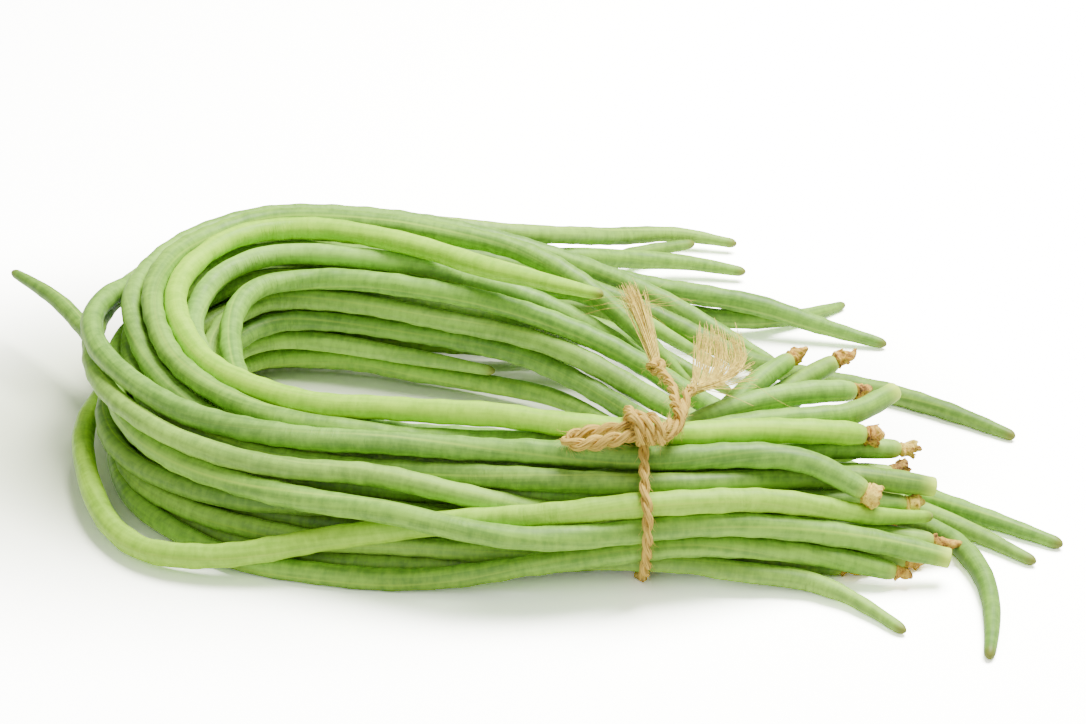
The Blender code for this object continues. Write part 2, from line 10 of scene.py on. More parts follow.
import bpy
import numpy as np
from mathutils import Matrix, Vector


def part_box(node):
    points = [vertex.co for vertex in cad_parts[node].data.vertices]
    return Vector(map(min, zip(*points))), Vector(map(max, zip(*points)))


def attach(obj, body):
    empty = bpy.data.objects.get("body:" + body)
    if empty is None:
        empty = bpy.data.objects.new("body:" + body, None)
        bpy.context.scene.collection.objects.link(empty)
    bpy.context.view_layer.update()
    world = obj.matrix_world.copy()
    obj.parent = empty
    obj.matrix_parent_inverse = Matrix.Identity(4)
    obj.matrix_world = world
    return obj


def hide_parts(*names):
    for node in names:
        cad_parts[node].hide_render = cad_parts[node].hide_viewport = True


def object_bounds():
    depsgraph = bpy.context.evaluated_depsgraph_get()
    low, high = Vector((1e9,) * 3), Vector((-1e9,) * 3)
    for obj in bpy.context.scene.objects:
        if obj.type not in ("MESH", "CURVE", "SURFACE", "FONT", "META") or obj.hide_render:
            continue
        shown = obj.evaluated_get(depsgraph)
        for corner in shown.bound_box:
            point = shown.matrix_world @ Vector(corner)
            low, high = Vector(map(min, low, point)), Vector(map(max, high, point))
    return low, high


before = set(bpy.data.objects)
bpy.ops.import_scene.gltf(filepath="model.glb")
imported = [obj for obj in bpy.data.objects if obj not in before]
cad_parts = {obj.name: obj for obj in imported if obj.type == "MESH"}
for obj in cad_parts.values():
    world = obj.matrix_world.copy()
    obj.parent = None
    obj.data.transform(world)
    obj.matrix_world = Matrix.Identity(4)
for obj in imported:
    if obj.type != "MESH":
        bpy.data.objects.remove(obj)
CAD_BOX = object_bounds()
POD_NAMES = sorted(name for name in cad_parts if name.startswith("bean"))
CHANCE = np.random.default_rng(28)
print(len(POD_NAMES), "pods in a box of", [round(side, 3) for side in CAD_BOX[1] - CAD_BOX[0]], "m")

# %% [markdown]
# A long lens a metre away, looking down at 28 degrees, shows the bunch as it lies on a table, with its
# stem ends on the right. It is placed from the frame's box, so that it follows the model.

# %% Camera
AIM_SHIFT = Vector((0.0140, -0.0067, 0.0007))
CAMERA_TILT = math.radians(28)
CAMERA_DISTANCE = 1.0
FIELD_WIDTH = 0.3949  # metres across the picture at the aim


def shown(name, data):
    """A new object in the scene that shows a mesh, a lamp or a camera."""
    thing = bpy.data.objects.new(name, data)
    bpy.context.collection.objects.link(thing)
    return thing


camera_data = bpy.data.cameras.new("camera")
camera_data.lens = camera_data.sensor_width * CAMERA_DISTANCE / FIELD_WIDTH
camera = shown("camera", camera_data)
aim = (CAD_BOX[0] + CAD_BOX[1]) / 2 + AIM_SHIFT
back = Vector((0, -math.cos(CAMERA_TILT), math.sin(CAMERA_TILT)))
camera.location = aim + CAMERA_DISTANCE * back
camera.rotation_euler = (math.pi / 2 - CAMERA_TILT, 0, 0)
bpy.context.scene.camera = camera
print("camera at", [round(x, 3) for x in camera.location], "with a lens of", round(camera_data.lens, 1), "mm")

# %% [markdown]
# All finishes are made of shader nodes. One helper makes a material with its Principled shader, one
# starts a node group, and Wiring adds nodes and returns what comes out of them.

# %% Node helpers
def principled(name, colour, roughness):
    """A material with a Principled shader, and that shader."""
    material = bpy.data.materials.new(name)
    material.use_nodes = True
    shader = material.node_tree.nodes["Principled BSDF"]
    shader.inputs["Base Color"].default_value = (*colour, 1)
    shader.inputs["Roughness"].default_value = roughness
    return material, shader


def new_group(name, inputs, outputs):
    """An empty node group with its input and output nodes. inputs are labels with values, of which
    four numbers are a colour; of the outputs only Colour is a colour."""
    group = bpy.data.node_groups.new(name, "ShaderNodeTree")
    kinds = {True: "NodeSocketColor", False: "NodeSocketFloat"}
    for label, value in inputs.items():
        kind = kinds[isinstance(value, tuple)]
        group.interface.new_socket(label, in_out="INPUT", socket_type=kind).default_value = value
    for label in outputs:
        group.interface.new_socket(label, in_out="OUTPUT", socket_type=kinds[label == "Colour"])
    return group, group.nodes.new("NodeGroupInput"), group.nodes.new("NodeGroupOutput")


class Wiring:
    """Short ways to add the nodes that the finishes are made of; each returns an output socket."""

    def __init__(self, tree):
        self.tree = tree

    def feed(self, socket, value):
        """Sets a socket, or links an output socket to it."""
        if isinstance(value, bpy.types.NodeSocket):
            self.tree.links.new(value, socket)
        else:
            socket.default_value = value

    def node(self, kind, *values, **settings):
        """A new node with its properties set and its first inputs fed in order."""
        node = self.tree.nodes.new("ShaderNode" + kind)
        for word, value in settings.items():
            setattr(node, word, value)
        for socket, value in zip(node.inputs, values):
            self.feed(socket, value)
        return node

    def stored(self, name):
        """A vector kept on the mesh's points."""
        return self.node("Attribute", attribute_name=name).outputs["Vector"]

    def place(self):
        """Object coordinates."""
        return self.node("TexCoord").outputs["Object"]

    def math(self, what, a, b):
        """One sum: what is ADD, MULTIPLY and so on."""
        return self.node("Math", a, b, operation=what).outputs[0]

    def total(self, first, *others):
        """Values times their weights, all added up; each is (value, weight)."""
        result = self.math("MULTIPLY", *first)
        for part in others:
            result = self.math("ADD", result, self.math("MULTIPLY", *part))
        return result

    def stretch(self, vector, scale, shift=0.0):
        """A vector moved along x, y and z by the same shift, then scaled."""
        shift = shift if isinstance(shift, bpy.types.NodeSocket) else (shift,) * 3
        moved = self.node("VectorMath", vector, shift, operation="ADD").outputs[0]
        return self.node("VectorMath", moved, scale, operation="MULTIPLY").outputs[0]

    def split(self, vector):
        """The three numbers of a vector."""
        return self.node("SeparateXYZ", vector).outputs

    def noise(self, vector, scale, detail, roughness, shift=0.0):
        """Smooth noise, from 0 to 1, one blob to a unit of the stretched vector."""
        node = self.node("TexNoise", self.stretch(vector, scale, shift))
        for label, value in (("Scale", 1.0), ("Detail", detail), ("Roughness", roughness)):
            node.inputs[label].default_value = value
        return node.outputs["Fac"]

    def ramp(self, value, low, high, to_low=0.0, to_high=1.0):
        """A value brought smoothly from low..high to to_low..to_high, and held at both ends."""
        node = self.node("MapRange", value, low, high, to_low, to_high, interpolation_type="SMOOTHSTEP")
        return node.outputs["Result"]

    def mix(self, share, a, b):
        """Colour a turned into colour b by a share."""
        node = self.node("Mix", share, data_type="RGBA")
        self.feed(node.inputs[6], a)
        self.feed(node.inputs[7], b)
        return node.outputs[2]

    def relief(self, height, metres):
        """A normal bent by a height whose 0 to 1 stands for some metres."""
        node = self.node("Bump")
        self.feed(node.inputs["Distance"], metres)
        self.feed(node.inputs["Height"], height)
        return node.outputs["Normal"]

    def placed(self, group, values):
        """What comes out of a node group with its own values."""
        node = self.node("Group", node_tree=group)
        for label, value in values.items():
            node.inputs[label].default_value = value
        return node.outputs


print("Wiring adds", [word for word in vars(Wiring) if not word.startswith("_")])

# %% [markdown]
# Fresh vegetables are shown on white, in light so soft that the shadows have no edges. A wide white
# floor, an even sky, one large lamp above the right rear of the bunch and a weak one in front do that.
# The floor also has painted light and shade: to the eye it is a painted green-tinted shade near the
# bunch and on its left, and away from the bunch painted light far brighter than its lamps make it.

# %% Floor and light
FLOOR_HALF = 6.0
FLOOR_WHITE = (0.80, 0.80, 0.78)
# painted light and shade on the floor, seen by the eye only: a green-tinted painted shade near the bunch,
# painted light far brighter than the lamps away from it
PAINTED_SHADE_NEAR, PAINTED_LIGHT_FAR = (0.98, 1.05, 0.80), (4.6, 4.6, 4.5)
PAINTED_SHADE_MIDDLE = (-0.08, 0.0, 0)
PAINTED_SHADE_STRETCH = (1.0, 1.6, 1.0)
PAINTED_SHADE_FROM, PAINTED_SHADE_TO = 0.10, 0.29


def floor_with_painted_light(name):
    """A matt white with painted light and shade: the eye sees it turn, with the distance from a middle
    point left of the bunch, from a painted green-tinted shade near the bunch to painted light far brighter
    than its lamps give, as if it had lamps of its own. What the bunch gets back from it stays FLOOR_WHITE."""
    material = bpy.data.materials.new(name)
    material.use_nodes = True
    tree = material.node_tree
    tree.nodes.remove(tree.nodes["Principled BSDF"])
    wire = Wiring(tree)
    here = wire.stretch(wire.place(), PAINTED_SHADE_STRETCH)
    away = wire.node("VectorMath", here, PAINTED_SHADE_MIDDLE, operation="DISTANCE").outputs["Value"]
    # painted shade near the bunch, turning into painted light with the distance from it
    painted_light_and_shade = wire.mix(wire.ramp(away, PAINTED_SHADE_FROM, PAINTED_SHADE_TO), (*PAINTED_SHADE_NEAR, 1), (*PAINTED_LIGHT_FAR, 1))
    by_eye = wire.node("LightPath").outputs["Is Camera Ray"]
    matt = wire.node("BsdfDiffuse", wire.mix(by_eye, (*FLOOR_WHITE, 1), painted_light_and_shade))
    wire.feed(tree.nodes["Material Output"].inputs["Surface"], matt.outputs[0])
    return material


def surface(name, points, faces, material):
    """A smooth mesh object from its points and the numbers of each face's points."""
    mesh = bpy.data.meshes.new(name)
    mesh.from_pydata(points.reshape(-1, 3).tolist(), [], faces)
    mesh.shade_smooth()
    mesh.materials.append(material)
    return shown(name, mesh)


corners = FLOOR_HALF * np.array([(-1, -1, 0), (1, -1, 0), (1, 1, 0), (-1, 1, 0)])
floor = surface("floor", corners, [(0, 1, 2, 3)], floor_with_painted_light("white_floor_painted_light"))


def lamp(name, place, size, watts, colour):
    """A square soft lamp at a place, turned to face the bunch."""
    data = bpy.data.lights.new(name, "AREA")
    data.size, data.energy, data.color = size, watts, colour
    thing = shown(name, data)
    thing.location = place
    thing.rotation_euler = (Vector(place) - aim).to_track_quat("Z", "Y").to_euler()


lamp("overhead_lamp", (0.42, 0.30, 1.25), 0.8, 66, (1.0, 0.99, 0.95))
lamp("front_lamp", (-0.7, -1.1, 0.9), 1.2, 8, (0.98, 1.0, 0.97))
world = bpy.data.worlds.new("sky")
world.use_nodes = True
world.node_tree.nodes["Background"].inputs["Color"].default_value = (1.0, 1.0, 0.99, 1)
world.node_tree.nodes["Background"].inputs["Strength"].default_value = 0.33
bpy.context.scene.world = world
print("floor of", 2 * FLOOR_HALF, "m and", len(bpy.data.lights), "lamps")

# %% [markdown]
# ## Where each pod lies
# A pod of the frame is a plain tube of six-sided rings, and the line through the middles of its rings is
# needed. The rings aren't marked, but every corner has a walking distance from both ends of the pod, and
# sorted by that the corners come in sixes. The thicker end is the stem end.

# %% Ring middles of a pod
RING_CORNERS = 6
FAR_AWAY = 9.0


def ring_middles(name):
    """A pod's ring middles, stem end first, and the radii there. A corner's walking distance is the
    least, over its edges, of the next corner's distance plus the edge's length."""
    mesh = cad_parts[name].data
    places = np.empty(3 * len(mesh.vertices))
    mesh.vertices.foreach_get("co", places)
    edges = np.empty(2 * len(mesh.edges), int)
    mesh.edges.foreach_get("vertices", edges)
    places, twin = np.unique(places.reshape(-1, 3).round(6), axis=0, return_inverse=True)
    a, b = twin.reshape(-1)[edges].reshape(-1, 2).T
    steps = np.linalg.norm(places[a] - places[b], axis=1)

    def distances(start):
        far = np.full(len(places), FAR_AWAY)
        far[start] = 0
        for _ in range(len(places) // 2):
            np.minimum.at(far, a, far[b] + steps)
            np.minimum.at(far, b, far[a] + steps)
        return far

    one = distances(distances(0).argmax())
    other = distances(one.argmax())
    along = np.where(one < other, one.max() - other, one)
    rings = places[np.argsort(along)].reshape(-1, RING_CORNERS, 3)
    middles = rings.mean(axis=1)
    radii = np.linalg.norm(rings - middles[:, None], axis=2).mean(axis=1)
    return (middles, radii) if radii[0] > radii[-1] else (middles[::-1], radii[::-1])


skeletons = {name: ring_middles(name) for name in POD_NAMES}
print("rings in a pod:", {len(middles) for middles, _ in skeletons.values()})

# %% [markdown]
# The plain tubes turn in short straight steps. A real pod bends smoothly but keeps slight waves, because
# it grew hanging. So each line is rounded by a bell-shaped moving average and then gets slow waves. All
# pods get the same number of places, so that the whole bunch is one array.

# %% Smooth lines
PLACES = 220  # places along a pod
ROUNDING = 0.0085  # metres over which a line is averaged
WAVE_HEIGHT = 0.0006
WAVES = (2, 3, 5, 8, 12)  # waves along a pod


def lengths_along(line):
    """Distance along a line, from its start, at each of its points."""
    return np.concatenate([[0], np.linalg.norm(np.diff(line, axis=0), axis=1).cumsum()])


def evenly(line, count):
    """The same line as count points, equally spaced along it."""
    along = lengths_along(line)
    return np.stack([np.interp(np.linspace(0, along[-1], count), along, x) for x in line.T], axis=1)


def rounded(line, reach):
    """Each point averaged with its neighbours under a bell curve. Past its ends the line goes on as
    its own point reflection, so the end points stay where they are."""
    step = lengths_along(line)[-1] / (len(line) - 1)
    many = int(3 * reach / step)
    bell = np.exp(-0.5 * (np.arange(-many, many + 1) * step / reach) ** 2)
    longer = np.vstack([2 * line[0] - line[many:0:-1], line, 2 * line[-1] - line[-2:-many - 2:-1]])
    return np.stack([np.convolve(x, bell / bell.sum(), "valid") for x in longer.T], axis=1)


def wavy(line, height):
    """A line with slow waves: sines of chance phases, shorter ones lower, fading out at the ends."""
    share = np.linspace(0, 1, len(line))[:, None, None]
    count = np.array(WAVES)[:, None]
    phase = CHANCE.uniform(0, math.tau, (len(WAVES), 3))
    sines = np.sin(math.tau * count * share + phase) / np.sqrt(count)
    fade = np.sin(math.pi * share[:, 0]) ** 0.5
    return line + height * fade * sines.sum(axis=1)


lines = np.stack([wavy(rounded(evenly(skeletons[n][0], PLACES), ROUNDING), WAVE_HEIGHT) for n in POD_NAMES])
full = np.array([np.median(skeletons[name][1]) for name in POD_NAMES])
lengths = np.array([lengths_along(line)[-1] for line in lines])
print("pods are", int(1000 * lengths.min()), "to", int(1000 * lengths.max()), "mm long and",
      (2000 * full.min()).round(1), "to", (2000 * full.max()).round(1), "mm thick")

# %% [markdown]
# A pod is blunt at its stem end and thins slowly to a rounded tip. One thickness formula keeps the pods
# apart and shapes their skins.

# %% Thickness along a pod
STEM_SHARE, STEM_SWELL = 0.84, 0.016  # thickness at the stem end, and where it has become full
TIP_SHARE, TIP_TAPER = 0.50, 0.060  # thickness just behind the tip's rounding, and where it starts
TIP_ROUND = 0.0034


def thickness(from_stem, from_tip):
    """Radius as a share of a full pod's: two quarter sines that level off at 1, the lower one taken."""
    stem = STEM_SHARE + (1 - STEM_SHARE) * np.sin(np.clip(from_stem / STEM_SWELL, 0, 1) * math.pi / 2)
    tip = TIP_SHARE + (1 - TIP_SHARE) * np.sin(np.clip(from_tip / TIP_TAPER, 0, 1) * math.pi / 2)
    return np.minimum(stem, tip)


share = np.linspace(0, 1, PLACES)
radii = np.stack([wide * thickness(share * long, (1 - share) * long) for wide, long in zip(full, lengths)])
print("radii run from", (1000 * radii.min()).round(2), "to", (1000 * radii.max()).round(2), "mm")

# %% [markdown]
# Rounding and waves have moved the pods by up to a millimetre, so some press into each other. They are
# shaken apart: wherever two places of different pods are closer than their radii allow, each gives way
# by half, as in a physics engine's contacts, and a little smoothing keeps each pod's line even.

# %% Let the pods settle
SETTLE_ROUNDS = 90
SETTLE_REFRESH = 10  # rounds after which the neighbours are looked up again
SETTLE_NEAR = 0.003  # neighbours are looked up this far past touching
SETTLE_AIR = 0.0001


def neighbours(flat, thick, owner):
    """Pairs of places on different pods that nearly touch, each pod compared with those after it."""
    found = []
    for pod in range(owner.max()):
        mine, later = np.flatnonzero(owner == pod), np.flatnonzero(owner > pod)
        apart = ((flat[mine, None] - flat[None, later]) ** 2).sum(axis=2)
        reach = thick[mine, None] + thick[None, later] + SETTLE_NEAR
        near = np.nonzero(apart < reach ** 2)
        found.append(np.stack([mine[near[0]], later[near[1]]]))
    return np.concatenate(found, axis=1)


def settled(lines, radii):
    """The lines moved until the pods lie on and beside each other and on the table."""
    start, thick = lines.copy(), radii.reshape(-1)
    owner = np.repeat(np.arange(len(lines)), lines.shape[1])
    for turn in range(SETTLE_ROUNDS):
        flat = lines.reshape(-1, 3)
        if turn % SETTLE_REFRESH == 0:
            a, b = neighbours(flat, thick, owner)
        between = flat[a] - flat[b]
        distance = np.linalg.norm(between, axis=1)
        short = np.maximum(thick[a] + thick[b] + SETTLE_AIR - distance, 0)
        push = between / distance[:, None] * (short / 2)[:, None]
        moved, load = np.zeros_like(flat), np.zeros(len(flat))
        np.add.at(moved, a, push)
        np.add.at(moved, b, -push)
        np.add.at(load, a, short > 0)
        np.add.at(load, b, short > 0)
        moved /= np.maximum(load, 1)[:, None] ** 0.5
        offset = lines + moved.reshape(lines.shape) - start
        if turn < SETTLE_ROUNDS - SETTLE_REFRESH:
            offset[:, 1:-1] = (offset[:, :-2] + 2 * offset[:, 1:-1] + offset[:, 2:]) / 4
        lines = start + offset
        lines[..., 2] = np.maximum(lines[..., 2], radii)
    return lines, short.max()


lines, worst = settled(lines, radii)
print("the deepest overlap left is", (1000 * worst).round(2), "mm")

# %% [markdown]
# ## One pod's skin
# A surface is a grid: one way runs along the pod and the other round it. Every point is the line's point
# plus a radius times a direction round it. The first and last rows are single points, which closes the
# ends. The same grid makes the pods, the dried cups and the plies of the twine.

# %% A closed tube from a grid
def directions(line, reference=(0, 0, 1)):
    """Two unit directions square to the line at each point: the cross product of the line's own
    direction with a reference, and that of the first with the line's direction."""
    ahead = np.gradient(line, axis=0)
    ahead /= np.linalg.norm(ahead, axis=1)[:, None]
    side = np.cross(ahead, reference)
    side /= np.linalg.norm(side, axis=1)[:, None]
    return side, np.cross(side, ahead)


def grid_object(name, points, material, marks=()):
    """A mesh object from a grid of points (rows, round, 3) whose first and last rows are poles. marks
    are (name, grid of vectors) that are kept on the points, for the materials."""
    rows, around = points.shape[:2]
    keep = np.concatenate([[0], np.arange(around, (rows - 1) * around + 1)])
    at = np.arange(1, (rows - 2) * around + 1).reshape(rows - 2, around)
    turned = np.roll(at, -1, axis=1)
    quads = np.stack([at[:-1], turned[:-1], turned[1:], at[1:]], axis=2).reshape(-1, 4)
    start = np.stack([np.zeros_like(at[0]), turned[0], at[0]], axis=1)
    finish = np.stack([np.full_like(at[0], len(keep) - 1), at[-1], turned[-1]], axis=1)
    faces = quads.tolist() + start.tolist() + finish.tolist()
    thing = surface(name, points.reshape(-1, 3)[keep], faces, material)
    for mark, values in marks:
        attribute = thing.data.attributes.new(mark, "FLOAT_VECTOR", "POINT")
        attribute.data.foreach_set("vector", values.reshape(-1, 3)[keep].astype(np.float32).reshape(-1))
    return thing


print("a grid of 10 rows by 8 has", 8 * 7, "quads and", 2 * 8, "end triangles")

# %% [markdown]
# The materials need to know where on the pod a point is, so each point keeps two vectors. "straight" is
# its place as if the pod were pulled straight, so that streaks follow the pod round its bends. "marks"
# holds three masks: the seam, the bend (above 0 on the inside of a curve, where the skin gathers) and
# the ends, from 1 at the stem end through 0 to -1 at the tip.

# %% The shape of a skin
AROUND = 28
ROW_STEP = 0.0015
SEED_STEP = 0.0125  # from one seed to the next
SEED_SWELL = 0.06  # how far a seed swells the two cheeks, as a share
SEAM_WIDTH = 0.16  # radians
SEAM_DEPTH = 0.035
OVAL = 0.035
LUMPS = 0.022
PRESSED = 0.0002  # the table flattens a pod's underside to this height
CUP_SPACE = 0.0050  # a pod with a flower cup begins this far in
END_FADE = 0.006  # metres over which the end masks fall to a third
TIGHTEST = 60  # the sharpest bend counted, as 1 over its radius
CUT_NAMES = ("bean_02", "bean_16", "bean_22")  # pods cut through, with no cup left


# the first rows' distance from the stem end, and their share of full thickness
CUT_FACE = np.array([(.0006, 0), (.0006, .35), (.0004, .72), (.0001, .90), (0, .955), (.0003, .985),
                     (.0008, 1), (.0015, 1)])
SHOULDER = np.array([(0, 0), (.0001, .45), (.0004, .70), (.0009, .84), (.0015, .925), (.0022, .97),
                     (.0030, .99), (.0038, 1)])


def rows_along(length, start, face):
    """Distances of the rows: close together over the ends, ROW_STEP apart between."""
    face = start + face[:, 0]
    body = np.arange(face[-1] + 0.0011, length - TIP_ROUND, ROW_STEP)
    tip = length - TIP_ROUND * (1 - np.sin(np.linspace(0.02, 1, 12) * math.pi / 2))
    return np.concatenate([face, body, tip])


def slow_noise(along, step, size):
    """A smooth chance curve: random heights a step apart, joined by a cosine ease."""
    knots = CHANCE.normal(0, size, int(along.max() / step) + 3)
    at = np.clip(along, 0, None) / step
    whole = at.astype(int)
    ease = (1 - np.cos((at - whole) * math.pi)) / 2
    return knots[whole] * (1 - ease) + knots[whole + 1] * ease


def pod_grid(line, radius, is_cut):
    """Points and marks of one pod's skin. Radius = full radius x thickness x (1 + oval + seeds + lumps
    + seams), at an angle that turns slowly along the pod, because pods twist as they grow."""
    along = lengths_along(line)
    length = along[-1]
    begin = 0.0 if is_cut else CUP_SPACE
    face = CUT_FACE if is_cut else SHOULDER
    s = rows_along(length, begin, face)
    inside = np.clip(s, 0, length)
    centre = np.stack([np.interp(inside, along, x) for x in line.T], axis=1)
    side, up = (np.stack([np.interp(inside, along, x) for x in d.T], axis=1) for d in directions(line))
    profile = thickness(s - begin, length - s)
    profile[:len(face)] *= face[:, 1]
    rounding = np.clip((length - s) / TIP_ROUND, 0, 1)
    profile *= np.sqrt(np.clip(1 - (1 - rounding) ** 2, 0, 1))
    angle = np.linspace(0, math.tau, AROUND, endpoint=False)
    twist = CHANCE.uniform(0, math.tau) + slow_noise(s, 0.09, 0.7)
    to_seam, to_cheek = np.cos(angle)[None], np.sin(angle)[None]
    seeds = SEED_STEP * CHANCE.uniform(0.85, 1.2)
    beat = np.cos(math.tau * (s / seeds + slow_noise(s, 0.03, 0.12)))
    swell = SEED_SWELL * np.clip(beat, -0.3, 1)[:, None] * to_cheek ** 2
    groove = np.exp(-((angle + math.pi) % math.tau - math.pi)[None] ** 2 / (2 * SEAM_WIDTH ** 2))
    ridge = np.exp(-(angle - math.pi)[None] ** 2 / (2 * SEAM_WIDTH ** 2))
    lumps = slow_noise(s, 0.011, LUMPS)[:, None] + slow_noise(s, 0.006, LUMPS / 2)[:, None] * to_seam
    seams = SEAM_DEPTH * (0.6 * ridge - groove)
    body = 1 + OVAL * (to_cheek ** 2 - 0.5) + swell + lumps + seams
    r = radius * profile[:, None] * body
    across = np.cos(angle[None] + twist[:, None])[..., None] * side[:, None] \
        + np.sin(angle[None] + twist[:, None])[..., None] * up[:, None]
    points = centre[:, None] + r[..., None] * across
    points[..., 2] = np.maximum(points[..., 2], PRESSED)
    apart = s + 1e-9 * np.arange(len(s))  # no two rows at the same distance
    curving = np.nan_to_num(np.gradient(np.gradient(centre, apart, axis=0), apart, axis=0))
    curving = np.clip(curving, -TIGHTEST, TIGHTEST)
    curving = np.stack([np.convolve(x, np.ones(7) / 7, "same") for x in curving.T], axis=1)
    gather = (curving[:, None] * across).sum(axis=2) * radius
    straight = np.stack([r * to_seam, r * to_cheek, np.broadcast_to(s[:, None], r.shape)], axis=2)
    stem_near = np.exp(-np.maximum(s - begin, 0) / END_FADE)
    tip_near = np.exp(-(length - s) / END_FADE)
    ends = np.broadcast_to((stem_near - tip_near)[:, None], r.shape)
    marks = np.stack([np.broadcast_to(np.maximum(groove, ridge), r.shape), gather, ends], axis=2)
    return points, straight, marks


print("a pod has", AROUND, "points round and a row every", 1000 * ROW_STEP, "mm")

# %% [markdown]
# ## Finish of the pods
# The skin is satin green with a pale waxy bloom. Streaks run along it, the seams are thin yellow-green
# lines, and fine lines run across it where a pod bends. All pods share this with their own greens, so it
# is built once, as a node group that puts out a colour, a roughness and a height. Streaks are noise
# squeezed tight round the pod and drawn out along it. The cross lines are the same turned the other way,
# shown only where the skin gathers and in a few chance stretches.

# %% The skin group
pod_group, enter, leave = new_group(
    "pod_skin", {"Deep": (0.10, 0.20, 0.05, 1), "Pale": (0.4, 0.5, 0.3, 1), "Seam": (0.4, 0.5, 0.1, 1),
                 "Shift": 0.0}, ("Colour", "Roughness", "Height"))
wire = Wiring(pod_group)
straight = wire.stored("straight")
seam_mask, gather = wire.split(wire.stored("marks"))[:2]
shift = enter.outputs["Shift"]
streaks = wire.noise(straight, (520, 520, 9), 3, 0.6, shift)
mottle = wire.noise(straight, (210, 210, 420), 3, 0.6, shift)
clouds = wire.noise(straight, (150, 150, 34), 2, 0.5, shift)
fibres = wire.noise(straight, (1900, 1900, 60), 2, 0.5, shift)
cross = wire.noise(straight, (130, 130, 1150), 2, 0.6, shift)
stretches = wire.ramp(wire.noise(straight, (110, 110, 42), 1, 0.5, shift), 0.54, 0.70)
tone = wire.total((streaks, 0.34), (clouds, 0.32), (mottle, 0.34))
colour = wire.mix(wire.ramp(tone, 0.36, 0.63), enter.outputs["Deep"], enter.outputs["Pale"])
seam_line = wire.math("MULTIPLY", wire.ramp(seam_mask, 0.55, 0.95), wire.ramp(streaks, 0.3, 0.7, 0.04, 0.5))
colour = wire.mix(seam_line, colour, enter.outputs["Seam"])
gathered = wire.math("MAXIMUM", wire.ramp(gather, 0.02, 0.12), wire.math("MULTIPLY", stretches, 0.6))
cross_lines = wire.math("MULTIPLY", wire.ramp(cross, 0.50, 0.66), gathered)
colour = wire.mix(wire.math("MULTIPLY", cross_lines, 0.35), colour, enter.outputs["Deep"])
wire.feed(leave.inputs["Colour"], colour)
wire.feed(leave.inputs["Roughness"], wire.ramp(clouds, 0.3, 0.7, 0.44, 0.58))
wire.feed(leave.inputs["Height"], wire.total((streaks, 0.5), (fibres, 0.25), (cross_lines, -0.9)))
print("pod_skin has", len(pod_group.nodes), "nodes")

# %% [markdown]
# Each pod gets its own material from the group: its own greens and its own shift of the noise. The end
# colours are mixed in here, because a cut end is pale and moist and an end in a flower cup is not.

# %% Pod materials
SAGE = ((0.165, 0.325, 0.045), (0.325, 0.590, 0.070))
LEAF = ((0.130, 0.285, 0.034), (0.275, 0.535, 0.052))
MOSS = ((0.108, 0.235, 0.030), (0.235, 0.450, 0.050))
LIME = ((0.230, 0.480, 0.022), (0.410, 0.740, 0.045))
BRIGHT = ((0.270, 0.600, 0.012), (0.460, 0.860, 0.028))
HUE_SPREAD, TONE_SPREAD = 0.05, 0.10
SEAM_GREEN = (0.48, 0.70, 0.06)
BLOOM_BUMP = 0.00012  # metres from the lowest to the highest of the skin's relief


def pod_material(name, greens, shift, stem_colour, stem_reach):
    """The skin group with one pod's greens, turning pale at its stem end and brown at its tip."""
    material, shader = principled(name, greens[1], 0.5)
    wire = Wiring(material.node_tree)
    skin = wire.placed(pod_group, {"Deep": (*greens[0], 1), "Pale": (*greens[1], 1),
                                   "Seam": (*SEAM_GREEN, 1), "Shift": shift})
    ends = wire.split(wire.stored("marks"))[2]
    at_stem = wire.ramp(ends, 1 - stem_reach, 1.0)
    at_tip = wire.ramp(ends, -0.95, -0.35, 0.9, 0.0)
    colour = wire.mix(at_stem, skin["Colour"], (*stem_colour, 1))
    wire.feed(shader.inputs["Base Color"], wire.mix(at_tip, colour, (*TIP_BROWN, 1)))
    wire.feed(shader.inputs["Roughness"], skin["Roughness"])
    wire.feed(shader.inputs["Normal"], wire.relief(skin["Height"], BLOOM_BUMP))
    shader.inputs["Specular IOR Level"].default_value = 0.28
    return material


CUT_PALE, SHOULDER_PALE, TIP_BROWN = (0.68, 0.92, 0.08), (0.42, 0.60, 0.07), (0.19, 0.20, 0.03)
SPECIAL_GREENS = {"bean_01": BRIGHT, "bean_23": LIME}
pods = {}
for number, name in enumerate(POD_NAMES):
    is_cut = name in CUT_NAMES
    greens = SPECIAL_GREENS.get(name, (SAGE, LEAF, SAGE, MOSS)[number % 4])
    tone, warmth = 1 + CHANCE.uniform(-TONE_SPREAD, TONE_SPREAD), CHANCE.uniform(-HUE_SPREAD, HUE_SPREAD)
    greens = tuple((tone * (1 + warmth) * red, tone * green, tone * (1 - warmth) * blue)
                   for red, green, blue in greens)
    points, straight_grid, marks_grid = pod_grid(lines[number], full[number], is_cut)
    finish = pod_material(name + "_skin", greens, 0.37 * number, CUT_PALE if is_cut else SHOULDER_PALE,
                          0.75 if is_cut else 0.6)
    pods[name] = grid_object(name + "_pod", points, finish,
                             [("straight", straight_grid), ("marks", marks_grid)])
    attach(pods[name], "root")
    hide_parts(name)
print(len(pods), "skins,", sum(len(pod.data.polygons) for pod in pods.values()), "faces")

# %% [markdown]
# ## What is left of the flowers
# The flower sat on the stem end. Its dried cup is still on most pods: a knobbly tan collar, sometimes
# with a torn papery crown, and a stub of the stalk. They are turned shapes made rough: a profile carried
# round an axis, with each point's radius and height shifted by waves round the axis.

# %% Shapes of a stem end
CUP_AROUND = 30
